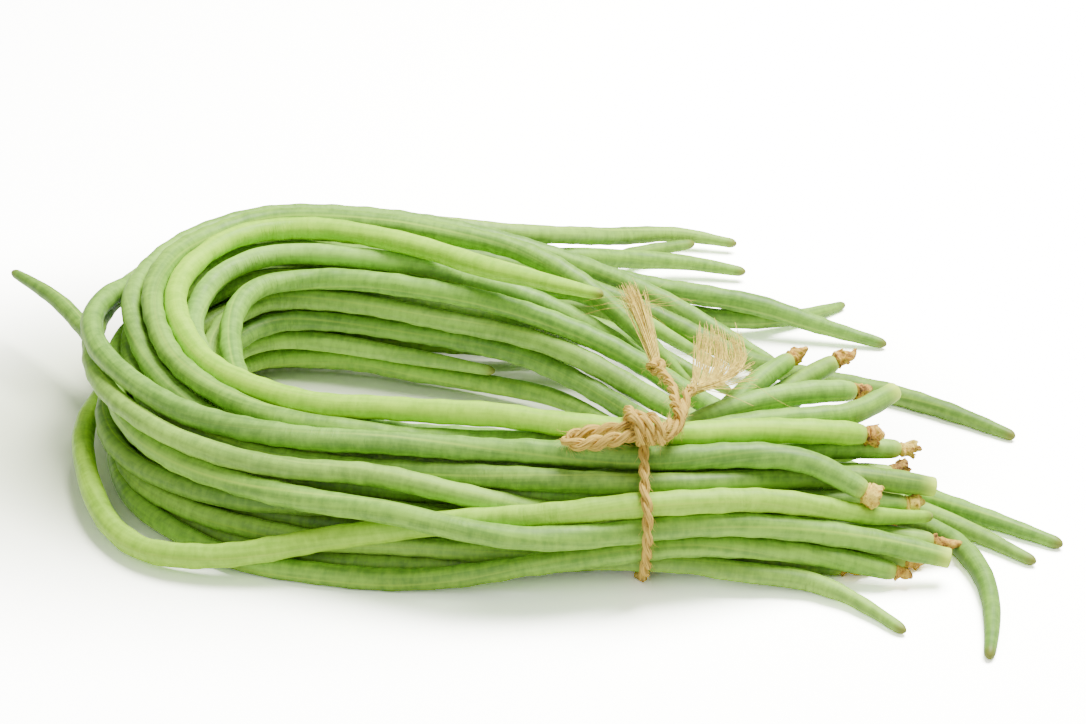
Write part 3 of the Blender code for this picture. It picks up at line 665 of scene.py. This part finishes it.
# (distance past the pod's end, radius), both in metres
KNOB = np.array([(-.0010, 0), (-.0008, .0020), (-.0002, .0026), (.0004, .0027), (.0010, .0023),
                 (.0017, .0020), (.0025, .0022), (.0033, .0023), (.0041, .0018), (.0048, .0012),
                 (.0055, .0009), (.0060, 0)])
KNOB_WAIST = 0.0033  # where the collar ends and the stub of the stalk begins
KNOB_ROWS = 34
CROWN_WALL = 0.00025


def wobble(angle, waves, size):
    """A chance wave round a circle: sines that fit whole times, each lower than the last."""
    total = np.zeros_like(angle)
    for wave in waves:
        total = total + np.sin(wave * angle + CHANCE.uniform(0, math.tau)) / math.sqrt(wave)
    return size * total


def knob_grid(base, axis, side, up, scale, stub):
    """The collar: KNOB's profile turned about the axis, drawn out by stub past its waist, with radii
    made rough by waves that change along the profile."""
    angle = np.linspace(0, math.tau, CUP_AROUND, endpoint=False)[None]
    steps = np.linspace(0, len(KNOB) - 1, KNOB_ROWS)
    out, radius = (np.interp(steps, np.arange(len(KNOB)), column)[:, None] for column in KNOB.T)
    out = np.where(out > KNOB_WAIST, KNOB_WAIST + (out - KNOB_WAIST) * stub, out)
    rough = 1 + wobble(angle + 190 * out, (2, 3, 5, 7), 0.09) + wobble(angle - 700 * out, (3, 4, 9), 0.07)
    lean = 0.0006 * np.array([wobble(900 * out, (1,), 1.0), wobble(700 * out, (1,), 1.0)]) * (out > 0)
    around = np.cos(angle)[..., None] * side + np.sin(angle)[..., None] * up
    centre = base + scale * (out[..., None] * axis + lean[0][..., None] * side + lean[1][..., None] * up)
    return centre + (scale * radius * rough)[..., None] * around


def crown_grid(base, axis, side, up, radius, height, flare, ruffle):
    """The papery crown: an open cup whose wall goes up outside and down inside, with a torn rim: its
    height differs round the axis, and it ripples more towards the rim."""
    angle = np.linspace(0, math.tau, CUP_AROUND * 2, endpoint=False)[None]
    climb = np.concatenate([[0, 0], np.linspace(0, 1, 10), np.linspace(1, 0.1, 9), [0.1, 0.1]])[:, None]
    wall = np.concatenate([[0, .6], np.ones(10), np.ones(9), [.6, 0]])[:, None]
    inner = np.concatenate([np.zeros(12), np.ones(11)])[:, None]
    torn = np.clip(0.76 + wobble(angle, (2, 5, 9, 13), 0.17), 0.30, 1.15)
    ripple = 1 + climb * wobble(angle + 2 * climb, (3, 5, 8), ruffle)
    r = wall * (radius + flare * climb ** 1.6) * ripple - CROWN_WALL * inner * wall
    around = np.cos(angle)[..., None] * side + np.sin(angle)[..., None] * up
    return base + (climb * height * torn)[..., None] * axis + r[..., None] * around


print("a collar has", KNOB_ROWS * CUP_AROUND, "points")

# %% [markdown]
# Dried flower parts are tan and matt, with brown and nearly black patches. One group mixes three colours
# by noise on Object coordinates, and each kind of cup gives it its own three.

# %% Dried finish
dry_group, enter, leave = new_group(
    "dried", {"Light": (1, 1, 1, 1), "Middle": (0.5, 0.3, 0.1, 1), "Dark": (0.1, 0.05, 0.02, 1)},
    ("Colour", "Height"))
wire = Wiring(dry_group)
here = wire.place()
patches = wire.noise(here, (420, 420, 420), 4, 0.6)
specks = wire.noise(here, (1500, 1500, 1500), 3, 0.6, 0.31)
colour = wire.mix(wire.ramp(patches, 0.40, 0.60), enter.outputs["Middle"], enter.outputs["Light"])
stain = wire.math("MAXIMUM", wire.ramp(patches, 0.32, 0.45, 0.95, 0.0),
                  wire.ramp(specks, 0.56, 0.70, 0.0, 0.8))
wire.feed(leave.inputs["Colour"], wire.mix(stain, colour, enter.outputs["Dark"]))
wire.feed(leave.inputs["Height"], wire.total((patches, 1.0), (specks, 0.6)))


def dried(name, light, middle, dark, relief):
    """A matt dried finish of three colours, with a relief in metres."""
    material, shader = principled(name, middle, 0.85)
    wire = Wiring(material.node_tree)
    dry = wire.placed(dry_group, {"Light": (*light, 1), "Middle": (*middle, 1), "Dark": (*dark, 1)})
    wire.feed(shader.inputs["Base Color"], dry["Colour"])
    wire.feed(shader.inputs["Normal"], wire.relief(dry["Height"], relief))
    return material


TAN = dried("tan_dry", (0.74, 0.46, 0.055), (0.46, 0.22, 0.03), (0.10, 0.042, 0.008), 0.0006)
CREAM = dried("cream_dry", (0.90, 0.68, 0.11), (0.66, 0.41, 0.045), (0.22, 0.10, 0.012), 0.0005)
BROWN = dried("brown_dry", (0.48, 0.28, 0.035), (0.20, 0.09, 0.014), (0.030, 0.015, 0.005), 0.0006)
print("three dried finishes")

# %% [markdown]
# The ends that show get a kind of their own, listed one by one, and the rest a plain collar. A crown starts
# at its collar's foot and opens away from the pod.

# %% Put a cup on each stem end
# name: finish, collar's scale, stub's length share, crown's (radius, height, flare, ruffle) or None
PLAIN_END = (TAN, 1.08, 1.0, None)
END_KINDS = {
    "bean_01": (TAN, 1.22, 0.8, (.0027, .0040, .0008, .10)),
    "bean_03": (CREAM, 1.2, 0.8, (.0024, .0030, .0004, .08)),
    "bean_04": (CREAM, 1.2, 0.5, (.0033, .0050, .0005, .06)),
    "bean_05": (TAN, 1.15, 1.2, (.0020, .0030, .0004, .10)),
    "bean_06": (TAN, 1.1, 1.6, (.0023, .0032, .0008, .12)),
    "bean_07": (TAN, 1.15, 1.9, (.0023, .0036, .0006, .12)),
    "bean_08": (BROWN, 1.1, 1.2, (.0024, .0036, .0008, .16)),
    "bean_09": (BROWN, 1.1, 1.5, None),
    "bean_11": (CREAM, 1.1, 1.8, (.0022, .0052, .0012, .16)),
    "bean_12": (BROWN, 1.3, 1.2, (.0032, .0058, .0014, .24)),
    "bean_13": (BROWN, 1.3, 0.8, (.0030, .0050, .0014, .24)),
    "bean_17": (CREAM, 1.2, 1.3, (.0026, .0040, .0008, .12)),
    "bean_18": (TAN, 1.3, 1.5, None),
    "bean_21": (TAN, 1.15, 3.0, None),
    "bean_24": (TAN, 1.2, 1.0, (.0024, .0030, .0006, .12)),
    "bean_27": (TAN, 1.25, 2.2, None),
}


def stem_place(number):
    """Where a pod's skin begins: a point of its line, the direction out of the pod, and two across."""
    line = lines[number]
    along = lengths_along(line)
    base = np.array([np.interp(CUP_SPACE, along, x) for x in line.T])
    axis = line[0] - base
    axis /= np.linalg.norm(axis)
    side, up = directions(np.array([base, base + axis]))
    return base, axis, side[0], up[0]


cups = 0
for number, name in enumerate(POD_NAMES):
    if name in CUT_NAMES:
        continue
    finish, scale, stub, crown = END_KINDS.get(name, PLAIN_END)
    base, axis, side, up = stem_place(number)
    scale *= full[number] / full.max()
    made = [grid_object(name + "_collar", knob_grid(base, axis, side, up, scale, stub), finish)]
    if crown:
        radius, height, flare, ruffle = crown
        grid = crown_grid(base + 0.0006 * axis, axis, side, up, radius * scale, height, flare, ruffle)
        made.append(grid_object(name + "_crown", grid, finish))
    for piece in made:
        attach(piece, "root")
    cups += len(made)
print(cups, "dried collars and crowns")

# %% [markdown]
# ## The twine
# Jute twine is two plies twisted round each other, and each ply is a bundle of coarse fibres. Both are
# built: a ply is a tube whose line winds round the twine's line, with ridges that run along the twine.
# The twine's line comes first. Its places are given in millimetres from the knot, and lifted
# wherever pods are in the way.

# %% Where the twine runs
MM = 0.001
TWINE_RADIUS = 0.0017
twine_low, twine_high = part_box("jute_twine")
KNOT = np.array([twine_low.x + 0.0264, twine_low.y + 0.0258, twine_high.z - 0.0035])
NESTLED = 0.96  # the share of a pod's radius that twine stays out of, as it presses in
CUBIC_STEPS = 24
POD_REACH = 0.16  # pods farther than this from a line's middle can't hold it up


def curve_through(places, count):
    """A smooth line through places: cubics whose slope at a place is that from the place before it
    to the one after, then spaced evenly."""
    places = np.asarray(places, float)
    longer = np.vstack([2 * places[0] - places[1], places, 2 * places[-1] - places[-2]])
    slope = (longer[2:] - longer[:-2]) / 2
    t = np.linspace(0, 1, CUBIC_STEPS, endpoint=False)[:, None, None]
    a, b, u, v = places[:-1], places[1:], slope[:-1], slope[1:]
    cubic = (2 * t ** 3 - 3 * t ** 2 + 1) * a + (t ** 3 - 2 * t ** 2 + t) * u \
        + (3 * t ** 2 - 2 * t ** 3) * b + (t ** 3 - t ** 2) * v
    return evenly(np.vstack([cubic.transpose(1, 0, 2).reshape(-1, 3), places[-1:]]), count)


def resting_height(places, radius):
    """How high a ball's middle is when it rests on the pods at (x, y): the highest, over the pods'
    places, of that height plus the upright side of the right triangle whose slope is both radii."""
    centres, thick = lines.reshape(-1, 3), radii.reshape(-1)
    near = np.linalg.norm(centres[:, :2] - places[:, :2].mean(axis=0), axis=1) < POD_REACH
    centres, thick = centres[near], thick[near]
    across = ((places[:, None, :2] - centres[None, :, :2]) ** 2).sum(axis=2)
    reach = NESTLED * thick[None] + radius
    lift = np.sqrt(np.maximum(reach ** 2 - across, 0))
    return np.where(lift > 0, centres[None, :, 2] + lift, radius).max(axis=1)


def lifted(line, radius, rounds=20):
    """A line raised clear of the pods: up to their resting height, smoothed, never below it again."""
    lowest = np.maximum(line[:, 2], resting_height(line, radius))
    height = lowest.copy()
    for _ in range(rounds):
        height[1:-1] = np.maximum((height[:-2] + 2 * height[1:-1] + height[2:]) / 4, lowest[1:-1])
    return np.column_stack([line[:, :2], height])


def mm(*numbers):
    """A step given in millimetres."""
    return MM * np.array(numbers, float)


def spots(*places):
    """Places given in millimetres from the knot."""
    return KNOT + mm(*places)


WRAP_SLANT = 0.0022  # half of how far the wrap's front and rear strands differ in x
WRAP_SLICE = 0.0030
WRAP_REACH = 0.040
tie_x = KNOT[0] - 0.0005
tie_lines, tie_radii = lines.reshape(-1, 3), radii.reshape(-1)
inside = KNOT[1:] + mm(6, -31)
tied = (np.abs(tie_lines[:, 0] - tie_x) < WRAP_SLICE) \
    & (np.linalg.norm(tie_lines[:, 1:] - inside, axis=1) < WRAP_REACH)
middle = (tie_lines[tied][:, 1:].min(axis=0) + tie_lines[tied][:, 1:].max(axis=0)) / 2
print("the tied pods' middle is at y, z", (1000 * middle).round(1), "mm")

# %% [markdown]
# The wrap is the shortest loop round the tied pods. In every direction the pod that reaches farthest
# holds the twine out. Those reaches are the loop's support function, and the loop is the outline whose
# tangents they give: reach times the direction, plus its rate of change times the direction across.

# %% The wrap, the bow and the tails as lines
angle = np.linspace(0, math.tau, 720, endpoint=False)
outward = np.stack([np.cos(angle), np.sin(angle)], axis=1)
held_out = NESTLED * tie_radii[tied] + TWINE_RADIUS
reach = (outward @ (tie_lines[tied][:, 1:] - middle).T + held_out).max(axis=1)
for _ in range(6):
    reach = (np.roll(reach, 1) + 2 * reach + np.roll(reach, -1)) / 4
change = (np.roll(reach, -1) - np.roll(reach, 1)) / (2 * angle[1])
y = middle[0] + reach * np.cos(angle) - change * np.sin(angle)
z = middle[1] + reach * np.sin(angle) + change * np.cos(angle)
wrap_line = np.stack([tie_x - WRAP_SLANT * np.cos(angle), y, np.maximum(z, TWINE_RADIUS)], axis=1)
wrap_line = evenly(np.vstack([wrap_line, wrap_line[:1]]), 400)

# the two tails leave the knot side by side and turn once round each other
PAIR_SWING = 0.0017
pair_places = spots((2, -4.6, .5), (7.2, -3.6, .5), (11.3, 3, 1), (13.2, 13.5, 1.5))
pair = lifted(curve_through(pair_places, 48), 1.6 * TWINE_RADIUS)
wind = np.linspace(math.pi, 3 * math.pi, len(pair))[:, None]
side, up = directions(pair)
swing = PAIR_SWING * (np.cos(wind) * side + np.sin(wind) * up)
inner, outer = pair + swing, pair - swing
BOW_PLACES = ((-2, 1.2, .6), (-6, 1.8, -.4), (-14, 2.4, -2.0), (-20, 2.2, -3.0), (-24.2, .4, -3.6),
              (-24.2, -2.2, -3.8), (-20, -4.0, -3.6), (-14, -4.2, -2.6), (-6, -4.6, -.8), (-2, -4.6, .2))
bow_line = np.vstack([spots((6.7, 43.8, -1), (9.2, 36, 0), (11.2, 26, 1)), inner[::-6], spots(*BOW_PLACES),
                      outer[::6], spots((15.4, 18.5, 2), (17.0, 23, 1.5))])
bow_line = lifted(curve_through(bow_line, 560), TWINE_RADIUS)
from_bow = (bow_line[:, 0] - (KNOT[0] - 0.014)) / 0.010
bow_radius = TWINE_RADIUS * (1 + 0.36 * np.exp(-from_bow ** 2))

turns = np.linspace(-0.35, 2.40, 150) * math.tau
COLLAR_LOW, COLLAR_HIGH, COLLAR_SLANT = -0.0034, 0.0054, 0.0013
collar_line = KNOT + np.stack([np.linspace(COLLAR_LOW, COLLAR_HIGH, 150) + COLLAR_SLANT * np.sin(turns),
                               -0.0016 - 0.0054 * np.sin(turns + 0.2),
                               0.0008 + 0.0042 * np.cos(turns)], axis=1)


def trefoil(place, size, tilt):
    """A closed overhand knot: (sin t + 2 sin 2t, cos t - 2 cos 2t, -sin 3t), turned about the upright."""
    t = np.linspace(0, math.tau, 121)
    x, y, z = np.sin(t) + 2 * np.sin(2 * t), np.cos(t) - 2 * np.cos(2 * t), -np.sin(3 * t)
    across, ahead = x * math.cos(tilt) - y * math.sin(tilt), x * math.sin(tilt) + y * math.cos(tilt)
    return place + size * np.stack([across * 0.9, ahead, z * 1.1], axis=1)


stub_places = spots((-1.5, -3, 1.6), (-2.8, 3, 2.4), (-3.8, 9, 1.6), (-4.4, 15, -1.5))
stub_line = lifted(curve_through(stub_places, 60), TWINE_RADIUS, 4)
stop_line = trefoil(bow_line[0] + mm(0, 0.6, 0.6), 0.00098, 0.3)
small_line = trefoil(bow_line[-1] + mm(0, 0, 0.3), 0.00060, 1.2)
print("wrap", int(1000 * lengths_along(wrap_line)[-1]), "mm, bow and tails",
      int(1000 * lengths_along(bow_line)[-1]), "mm")

# %% [markdown]
# A ply's line is the twine's line plus a share of the twine's radius in a direction that turns once in
# each pitch. Jute is spun one way and plied the other, so its fibres end up running along the twine, and
# the ridges don't turn with the ply.

# %% Twisted twine
PLY_AROUND = 24
PITCH = 0.0125
PLY_OFFSET, PLY_RADIUS = 0.50, 0.58  # shares of the twine's radius
RIDGES = 6
RIDGE_HEIGHT = 0.12


def ply_grid(line, radius, phase, reference):
    """Points and straightened places of one ply, which closes over its last two radii at each end."""
    along = lengths_along(line)
    side, up = directions(line, reference)
    turn = (math.tau * along / PITCH + phase)[:, None]
    outward = np.cos(turn) * side + np.sin(turn) * up
    onward = -np.sin(turn) * side + np.cos(turn) * up
    thick = radius * (1 + slow_noise(along, 0.004, 0.05))
    for distance in (along, along[-1] - along):
        thick = thick * np.sqrt(1 - (1 - np.clip(distance / (2 * TWINE_RADIUS), 0, 1)) ** 2)
    around = np.linspace(0, math.tau, PLY_AROUND, endpoint=False)[None]
    ridged = 1 + RIDGE_HEIGHT * np.cos(RIDGES * (around + turn) + slow_noise(along, 0.005, 1.0)[:, None])
    r = (PLY_RADIUS * thick)[:, None] * ridged
    centre = line + PLY_OFFSET * thick[:, None] * outward
    points = centre[:, None] + (r * np.cos(around))[..., None] * outward[:, None] \
        + (1.15 * r * np.sin(around))[..., None] * onward[:, None]
    straight = np.stack([r * np.cos(around + turn), r * np.sin(around + turn),
                         np.broadcast_to(along[:, None], r.shape)], axis=2)
    return points, straight


print("a ply turns once in", 1000 * PITCH, "mm")

# %% [markdown]
# Jute is pale gold, in noise drawn out along the twine. Between the fibres it turns darker, down to brown:
# this is painted shade in the grooves of the relief, and partly real brown fibres.
# Loose fibres catch the light, so they get the pale end of the same colours, which is painted light.

# %% Jute finish
JUTE_PALE, JUTE_GOLD, JUTE_BROWN_AND_GROOVE_SHADE = (0.76, 0.52, 0.105), (0.48, 0.30, 0.050), (0.13, 0.068, 0.017)
# painted light: the loose fibres' colours are paler than the twine's, standing in for the light they catch
LOOSE_PALE_PAINTED_LIGHT, LOOSE_GOLD_PAINTED_LIGHT = (0.86, 0.68, 0.12), (0.58, 0.42, 0.07)
JUTE_RELIEF = 0.0005
jute, shader = principled("jute", JUTE_GOLD, 0.82)
wire = Wiring(jute.node_tree)
straight = wire.stored("straight")
strands = wire.noise(straight, (2200, 2200, 110), 3, 0.6)
drift = wire.noise(straight, (500, 500, 110), 2, 0.5, 0.2)
colour = wire.mix(wire.ramp(strands, 0.36, 0.62), (*JUTE_GOLD, 1), (*JUTE_PALE, 1))
# painted shade: the lowest parts of the relief, the grooves between the fibres, turn brown, partly real brown
# fibres
colour = wire.mix(wire.ramp(strands, 0.32, 0.45, 0.9, 0.0), colour, (*JUTE_BROWN_AND_GROOVE_SHADE, 1))
colour = wire.mix(wire.ramp(drift, 0.45, 0.75, 0.0, 0.45), colour, (*JUTE_GOLD, 1))
wire.feed(shader.inputs["Base Color"], colour)
wire.feed(shader.inputs["Normal"], wire.relief(strands, JUTE_RELIEF))
shader.inputs["Specular IOR Level"].default_value = 0.2

# painted light: the loose fibres and fuzz get paler jute colours for the light they catch
loose_jute_painted_light, shader = principled("loose_jute_painted_light", JUTE_PALE, 0.75)
wire = Wiring(loose_jute_painted_light.node_tree)
blend = wire.ramp(wire.noise(wire.place(), (900, 500, 900), 2, 0.5), 0.35, 0.65)
wire.feed(shader.inputs["Base Color"], wire.mix(blend, (*LOOSE_GOLD_PAINTED_LIGHT, 1), (*LOOSE_PALE_PAINTED_LIGHT, 1)))
print("jute and loose jute")

# %% Build the twine
UPRIGHT, LENGTHWISE = (0, 0, 1), (1, 0, 0)
STRANDS = {"wrap": (wrap_line, TWINE_RADIUS, LENGTHWISE), "bow": (bow_line, bow_radius, UPRIGHT),
           "collar": (collar_line, TWINE_RADIUS, LENGTHWISE), "stub": (stub_line, TWINE_RADIUS, UPRIGHT),
           "stop_knot": (stop_line, 0.0014, (0.1, 0.2, 1)),
           "small_knot": (small_line, 0.0010, (0.1, 0.2, 1))}
for name, (line, radius, reference) in STRANDS.items():
    for ply in range(2):
        points, straight_grid = ply_grid(line, radius, ply * math.pi, reference)
        piece = grid_object(f"twine_{name}_ply_{ply + 1}", points, jute, [("straight", straight_grid)])
        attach(piece, "root")
        if name == "wrap" and ply == 0:
            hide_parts("jute_twine")
print(2 * len(STRANDS), "plies")

# %% [markdown]
# ## Frayed ends and loose fibres
# Where the twist is gone, the fibres spread. Each is a hair with four flat sides, and all the hairs of a
# brush are one array: a curve with three control points for each hair (start, middle, end, blended by
# the squares of the distance to go and the distance gone), plus a curl that grows to the free end.

# %% Hairs
def hairs(start, middle, end, curl, places=12):
    """Many hairs at once, as an array (hair, place, 3)."""
    t = np.linspace(0, 1, places)[None, :, None]
    line = (1 - t) ** 2 * start[:, None] + 2 * t * (1 - t) * middle[:, None] + t ** 2 * end[:, None]
    phase = CHANCE.uniform(0, math.tau, (len(start), 1, 3))
    rate = CHANCE.uniform(4, 10, (len(start), 1, 3))
    return line + curl[:, None, None] * t ** 1.5 * (np.sin(rate * t + phase) - np.sin(phase))


def hair_object(name, hair, radius):
    """One mesh of all the hairs: square tubes, each with its radius, that thin to their free ends."""
    count, places = hair.shape[:2]
    ahead = np.gradient(hair, axis=1)
    ahead /= np.maximum(np.linalg.norm(ahead, axis=2, keepdims=True), 1e-9)
    side = np.cross(ahead, (0.21, 0.13, 1.0))
    side /= np.linalg.norm(side, axis=2, keepdims=True)
    up = np.cross(side, ahead)
    thin = radius[:, None] * np.linspace(1, 0.45, places)[None]
    corner = math.tau * np.arange(4) / 4
    ring = np.cos(corner)[:, None] * side[:, :, None] + np.sin(corner)[:, None] * up[:, :, None]
    points = hair[:, :, None] + thin[:, :, None, None] * ring
    at = np.arange(count * places * 4).reshape(count, places, 4)
    turned = np.roll(at, -1, axis=2)
    walls = np.stack([at[:, :-1], turned[:, :-1], turned[:, 1:], at[:, 1:]], axis=3).reshape(-1, 4)
    faces = np.vstack([walls, at[:, 0, ::-1], at[:, -1]])
    thing = surface(name, points, faces.tolist(), loose_jute_painted_light)
    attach(thing, "root")


def lie_down(hair, radius):
    """The hairs lifted out of the pods and the table."""
    flat = hair.reshape(-1, 3).copy()
    flat[:, 2] = np.maximum(flat[:, 2], resting_height(flat, radius))
    return flat.reshape(hair.shape)


def fray(name, start, bend, end, curliest):
    """One frayed end as a piece: its hairs, laid down on the pods. The hairs are given back as drawn."""
    drawn = hairs(start, bend, end, CHANCE.uniform(0.0001, curliest, len(start)))
    hair_object(name, lie_down(drawn, HAIR_REST), CHANCE.uniform(THIN_HAIR, THICK_HAIR, len(start)))
    return drawn


HAIR_REST, THIN_HAIR, THICK_HAIR = 0.0004, 0.00010, 0.00022
BRUSH_HAIRS = 260
across = CHANCE.normal(0, 1, BRUSH_HAIRS)[:, None]
heights = CHANCE.normal(0, 1, BRUSH_HAIRS)[:, None]
reach_share = CHANCE.uniform(0.78, 1.0, BRUSH_HAIRS)[:, None]
X, Z = np.array([[1.0, 0, 0]]), np.array([[0, 0, 1.0]])
start = bow_line[0] + 0.0006 * (across * X + heights * Z)
bend = spots((3.4, 76, 0)) + 0.0014 * (across * X + 0.8 * heights * Z)
end = spots((-1.4, 111, -2)) + 0.0023 * across * X + 0.0012 * heights * Z
end = start + (end - start) * reach_share
brush = fray("twine_brush", start, bend, end, 0.0007)

FAN_HAIRS = 210
share = CHANCE.uniform(0, 1, FAN_HAIRS)[:, None]
upright = CHANCE.uniform(0, 1, FAN_HAIRS)[:, None] > 0.13  # the others lie along the swath
root = bow_line[-1]
start = root + 0.0006 * CHANCE.normal(0, 1, (FAN_HAIRS, 3))
bend = np.where(upright, root + mm(0.5, 2, 0.4) + share * mm(25, 9, 0), root + mm(9, 3, 0))
end = np.where(upright, root + mm(4.6, 44, -2) + share * mm(15, -3, 0),
               root + mm(21, 9, -1) + share * mm(2, 14, 0))
end = end + CHANCE.normal(0, 1, (FAN_HAIRS, 3)) * mm(1.1, 6.0, 0.9)
fan = fray("twine_fan", start, bend, end, 0.0009)
print(BRUSH_HAIRS + FAN_HAIRS, "hairs in the frayed ends")

# %% [markdown]
# Long curly hairs stray from the frayed ends, and short ones stand off the twine all along it. Without
# them it would look like plastic rope.

# %% Stray fibres
tips = np.concatenate([brush[::13, -3], fan[::13, -3]])
away = CHANCE.normal(0, 1, tips.shape) * np.array([[0.009, 0.006, 0.002]])
stray = hairs(tips, tips + 0.5 * away + 0.002 * Z, tips + away, CHANCE.uniform(0.0005, 0.0016, len(tips)))
hair_object("twine_strays", lie_down(stray, 0.0002), np.full(len(tips), 0.00008))

FUZZ = 1000
along_all = np.vstack([wrap_line, bow_line, bow_line, collar_line, stop_line])
picked = CHANCE.integers(0, len(along_all) - 3, FUZZ)
root = along_all[picked]
forward = along_all[picked + 2] - root
forward /= np.maximum(np.linalg.norm(forward, axis=1)[:, None], 1e-6)
away = CHANCE.normal(0, 1, (FUZZ, 3))
away -= (away * forward).sum(axis=1)[:, None] * forward
away /= np.linalg.norm(away, axis=1)[:, None]
reach = CHANCE.uniform(0.0015, 0.0055, FUZZ)[:, None]
root = root + 0.8 * TWINE_RADIUS * away
fuzz = hairs(root, root + reach * (0.5 * forward + 0.15 * away), root + reach * (0.9 * forward + 0.5 * away),
             CHANCE.uniform(0.0001, 0.0005, FUZZ), places=6)
hair_object("twine_fuzz", np.maximum(fuzz, [-9, -9, 0.0001]), np.full(FUZZ, 0.00006))
print(len(tips), "strays and", FUZZ, "short fibres")

# %% [markdown]
# The plain model's box is kept in CAD_BOX.
